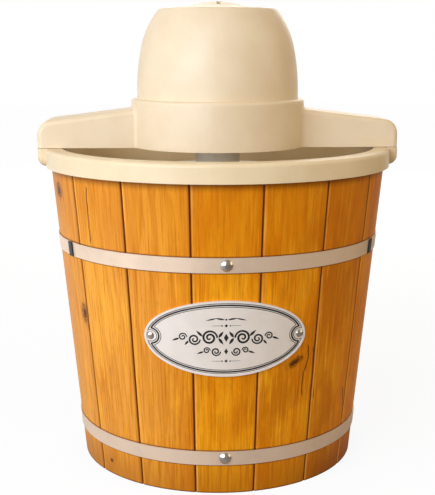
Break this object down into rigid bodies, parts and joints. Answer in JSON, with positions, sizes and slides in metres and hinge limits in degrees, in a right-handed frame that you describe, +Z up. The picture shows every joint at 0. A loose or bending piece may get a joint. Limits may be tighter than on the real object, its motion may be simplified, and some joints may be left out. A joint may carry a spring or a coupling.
{
  "type": "ice cream maker",
  "caption": "Ice cream maker: a tapered wooden bucket with a plastic liner holds a canister on a pivot, turned by a geared motor head that rests across the rim on two arms and lifts off.",
  "frame": {"origin": "on the floor, under the centre of the bucket", "axes": "+Z up along the bucket's axis, -Y to the front with the nameplate, X along the arms of the motor head"},
  "size_m": [0.311, 0.3014, 0.3983],
  "materials": {
    "stave_wood": "varnished pine",
    "board_wood": "plain pine",
    "liner_plastic": "cream, satin",
    "hoop_steel": "galvanised, satin",
    "clip_black": "black",
    "rivet_steel": "polished",
    "nameplate_nickel": "brushed nickel",
    "dasher_plastic": "white",
    "scraper_plastic": "white",
    "canister_aluminium": "spun",
    "lid_plastic": "frosted",
    "head_plastic": "cream, satin",
    "base_plastic": "cream",
    "holder_plastic": "natural",
    "gear_plastic": "natural acetal",
    "hub_plastic": "natural acetal",
    "plate_steel": "zinc plated",
    "core_steel": "laminated",
    "coil_copper": "enamelled copper wire",
    "bush_bronze": "bronze",
    "screw_steel": "zinc plated",
    "fan_plastic": "black",
    "gland_rubber": "black"
  },
  "bodies": {
    "bucket": {"stave_01": "stave_wood", "stave_02": "stave_wood", "stave_03": "stave_wood", "stave_04": "stave_wood", "stave_05": "stave_wood", "stave_06": "stave_wood", "stave_07": "stave_wood", "stave_08": "stave_wood", "stave_09": "stave_wood", "stave_10": "stave_wood", "stave_11": "stave_wood", "stave_12": "stave_wood", "stave_13": "stave_wood", "stave_14": "stave_wood", "stave_15": "stave_wood", "stave_16": "stave_wood", "bottom_board": "board_wood", "liner": "liner_plastic", "hoop_upper_front": "hoop_steel", "hoop_upper_rear": "hoop_steel", "hoop_lower": "hoop_steel", "hoop_clips": "clip_black", "hoop_rivets": "rivet_steel", "nameplate": "nameplate_nickel", "nameplate_rivets": "rivet_steel", "dasher": "dasher_plastic", "scraper_blades": "scraper_plastic"},
    "canister": {"canister": "canister_aluminium", "canister_lid": "lid_plastic"},
    "head": {"head_housing": "head_plastic", "dome_cover": "head_plastic", "base_plate": "base_plastic", "locating_tongues": "base_plastic", "gear_plate": "plate_steel", "stem_holder": "holder_plastic", "first_gear_pin": "screw_steel", "second_gear_pin": "screw_steel", "motor_stator": "core_steel", "motor_coils": "coil_copper", "motor_bracket": "plate_steel", "motor_bushes": "bush_bronze", "motor_spacers": "screw_steel", "motor_bolts": "screw_steel", "plate_screws": "screw_steel", "base_screws": "screw_steel", "holder_screws": "screw_steel", "cord_gland": "gland_rubber"},
    "rotor": {"rotor_shaft": "screw_steel", "rotor_core": "core_steel", "cooling_fan": "fan_plastic", "motor_pinion": "bush_bronze"},
    "first_gear": {"first_gear": "gear_plastic"},
    "second_gear": {"second_gear": "gear_plastic"},
    "output": {"output_gear": "gear_plastic", "drive_hub": "hub_plastic"}
  },
  "joints": [
    {"name": "head_lift", "type": "slide", "parent": "bucket", "child": "head", "axis": [0, 0, 1], "range_m": [0, 0.12]},
    {"name": "canister_spin", "type": "hinge", "parent": "bucket", "child": "canister", "pos_m": [0, 0, 0.03], "axis": [0, 0, 1], "continuous": true},
    {"name": "output_spin", "type": "hinge", "parent": "head", "child": "output", "pos_m": [0, 0, 0.28], "axis": [0, 0, 1], "continuous": true},
    {"name": "second_gear_spin", "type": "hinge", "parent": "head", "child": "second_gear", "pos_m": [0, 0.04375, 0.29], "axis": [0, 0, 1], "continuous": true},
    {"name": "first_gear_spin", "type": "hinge", "parent": "head", "child": "first_gear", "pos_m": [0.01307, 0.02013, 0.3], "axis": [0, 0, 1], "continuous": true},
    {"name": "rotor_spin", "type": "hinge", "parent": "head", "child": "rotor", "pos_m": [0, 0, 0.34], "axis": [0, 0, 1], "continuous": true}
  ],
  "couplings": [
    {"joint": "output_spin", "follows": "canister_spin", "ratio": 1},
    {"joint": "second_gear_spin", "follows": "canister_spin", "ratio": -4},
    {"joint": "first_gear_spin", "follows": "canister_spin", "ratio": 14},
    {"joint": "rotor_spin", "follows": "canister_spin", "ratio": -56}
  ]
}
